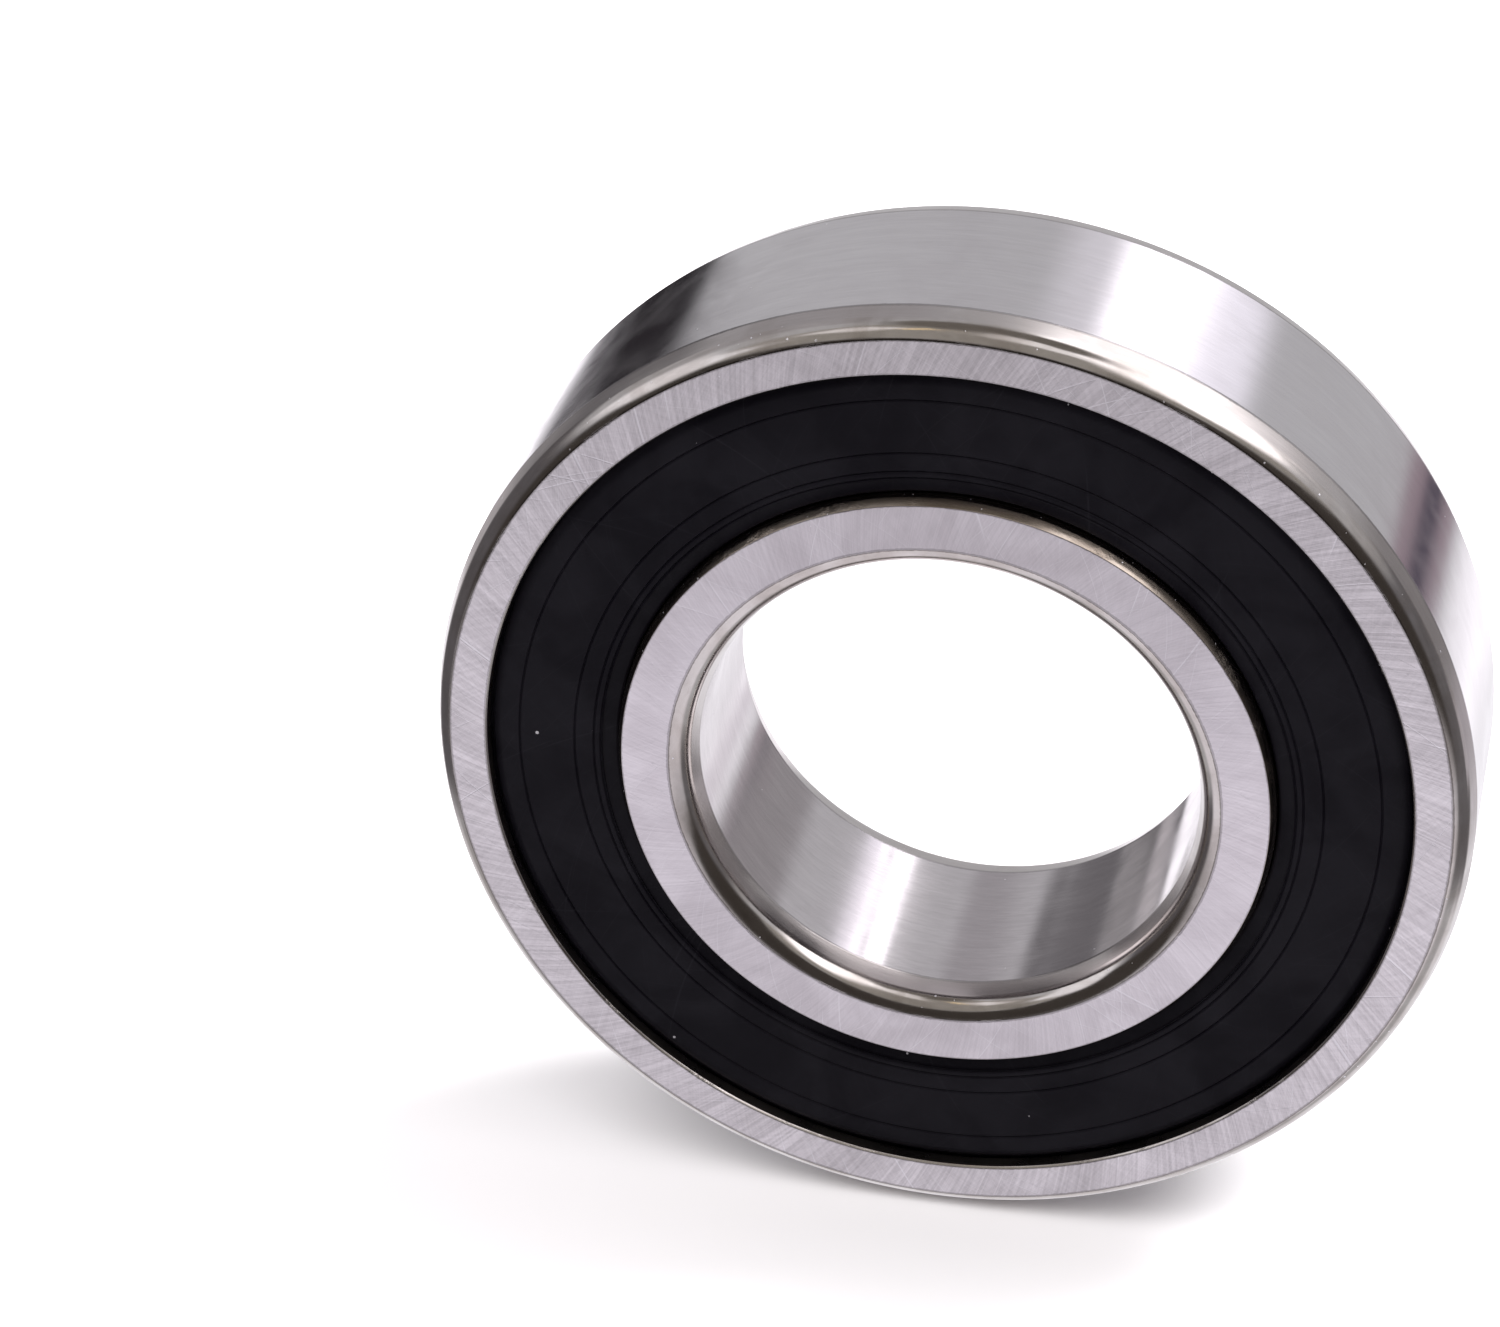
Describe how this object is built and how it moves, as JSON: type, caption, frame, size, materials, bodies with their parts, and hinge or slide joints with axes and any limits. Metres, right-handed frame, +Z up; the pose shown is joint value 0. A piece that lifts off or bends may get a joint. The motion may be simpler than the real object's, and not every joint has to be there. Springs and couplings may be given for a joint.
{
  "type": "angular contact ball bearing",
  "caption": "Sealed single-row angular contact ball bearing: two ground steel rings, caged balls and a black rubber seal on each side.",
  "frame": {"origin": "centre of the bearing, on its axis, midway between the two faces", "axes": "+Y along the bearing axis from the front face to the rear face, +Z up with the bearing standing on its rim"},
  "size_m": [0.062, 0.016, 0.062],
  "materials": {
    "ring_steel": "ground and polished bearing steel",
    "ball_steel": "lapped mirror",
    "seal_rubber": "satin moulded black",
    "core_steel": "cold-rolled sheet",
    "cage_polyamide": "glass-filled polyamide, natural"
  },
  "bodies": {
    "outer_assembly": {"outer_ring": "ring_steel", "front_seal_rubber": "seal_rubber", "front_seal_core": "core_steel", "rear_seal_rubber": "seal_rubber", "rear_seal_core": "core_steel"},
    "inner_ring": {"inner_ring": "ring_steel"},
    "cage": {"ball_cage": "cage_polyamide"},
    "ball_01": {"ball_01": "ball_steel"},
    "ball_02": {"ball_02": "ball_steel"},
    "ball_03": {"ball_03": "ball_steel"},
    "ball_04": {"ball_04": "ball_steel"},
    "ball_05": {"ball_05": "ball_steel"},
    "ball_06": {"ball_06": "ball_steel"},
    "ball_07": {"ball_07": "ball_steel"},
    "ball_08": {"ball_08": "ball_steel"},
    "ball_09": {"ball_09": "ball_steel"},
    "ball_10": {"ball_10": "ball_steel"},
    "ball_11": {"ball_11": "ball_steel"},
    "ball_12": {"ball_12": "ball_steel"},
    "ball_13": {"ball_13": "ball_steel"}
  },
  "joints": [
    {"name": "inner_ring_spin", "type": "hinge", "parent": "outer_assembly", "child": "inner_ring", "pos_m": [0, 0, 0], "axis": [0, 1, 0], "continuous": true},
    {"name": "cage_orbit", "type": "hinge", "parent": "outer_assembly", "child": "cage", "pos_m": [0, 0, 0], "axis": [0, 1, 0], "continuous": true},
    {"name": "ball_01_roll", "type": "hinge", "parent": "cage", "child": "ball_01", "pos_m": [0, 0, 0.023], "axis": [0, 0.766, -0.6428], "continuous": true},
    {"name": "ball_02_roll", "type": "hinge", "parent": "cage", "child": "ball_02", "pos_m": [-0.01069, 0, 0.02037], "axis": [0.2987, 0.766, -0.5692], "continuous": true},
    {"name": "ball_03_roll", "type": "hinge", "parent": "cage", "child": "ball_03", "pos_m": [-0.01893, 0, 0.01307], "axis": [0.529, 0.766, -0.3651], "continuous": true},
    {"name": "ball_04_roll", "type": "hinge", "parent": "cage", "child": "ball_04", "pos_m": [-0.02283, 0, 0.00277], "axis": [0.6381, 0.766, -0.0775], "continuous": true},
    {"name": "ball_05_roll", "type": "hinge", "parent": "cage", "child": "ball_05", "pos_m": [-0.02151, 0, -0.00816], "axis": [0.601, 0.766, 0.2279], "continuous": true},
    {"name": "ball_06_roll", "type": "hinge", "parent": "cage", "child": "ball_06", "pos_m": [-0.01525, 0, -0.01722], "axis": [0.4262, 0.766, 0.4811], "continuous": true},
    {"name": "ball_07_roll", "type": "hinge", "parent": "cage", "child": "ball_07", "pos_m": [-0.0055, 0, -0.02233], "axis": [0.1538, 0.766, 0.6241], "continuous": true},
    {"name": "ball_08_roll", "type": "hinge", "parent": "cage", "child": "ball_08", "pos_m": [0.0055, 0, -0.02233], "axis": [-0.1538, 0.766, 0.6241], "continuous": true},
    {"name": "ball_09_roll", "type": "hinge", "parent": "cage", "child": "ball_09", "pos_m": [0.01525, 0, -0.01722], "axis": [-0.4262, 0.766, 0.4811], "continuous": true},
    {"name": "ball_10_roll", "type": "hinge", "parent": "cage", "child": "ball_10", "pos_m": [0.02151, 0, -0.00816], "axis": [-0.601, 0.766, 0.2279], "continuous": true},
    {"name": "ball_11_roll", "type": "hinge", "parent": "cage", "child": "ball_11", "pos_m": [0.02283, 0, 0.00277], "axis": [-0.6381, 0.766, -0.0775], "continuous": true},
    {"name": "ball_12_roll", "type": "hinge", "parent": "cage", "child": "ball_12", "pos_m": [0.01893, 0, 0.01307], "axis": [-0.529, 0.766, -0.3651], "continuous": true},
    {"name": "ball_13_roll", "type": "hinge", "parent": "cage", "child": "ball_13", "pos_m": [0.01069, 0, 0.02037], "axis": [-0.2987, 0.766, -0.5692], "continuous": true}
  ],
  "couplings": [
    {"joint": "cage_orbit", "follows": "inner_ring_spin", "ratio": 0.42069},
    {"joint": "ball_01_roll", "follows": "inner_ring_spin", "ratio": -2.3539},
    {"joint": "ball_02_roll", "follows": "inner_ring_spin", "ratio": -2.3539},
    {"joint": "ball_03_roll", "follows": "inner_ring_spin", "ratio": -2.3539},
    {"joint": "ball_04_roll", "follows": "inner_ring_spin", "ratio": -2.3539},
    {"joint": "ball_05_roll", "follows": "inner_ring_spin", "ratio": -2.3539},
    {"joint": "ball_06_roll", "follows": "inner_ring_spin", "ratio": -2.3539},
    {"joint": "ball_07_roll", "follows": "inner_ring_spin", "ratio": -2.3539},
    {"joint": "ball_08_roll", "follows": "inner_ring_spin", "ratio": -2.3539},
    {"joint": "ball_09_roll", "follows": "inner_ring_spin", "ratio": -2.3539},
    {"joint": "ball_10_roll", "follows": "inner_ring_spin", "ratio": -2.3539},
    {"joint": "ball_11_roll", "follows": "inner_ring_spin", "ratio": -2.3539},
    {"joint": "ball_12_roll", "follows": "inner_ring_spin", "ratio": -2.3539},
    {"joint": "ball_13_roll", "follows": "inner_ring_spin", "ratio": -2.3539}
  ]
}
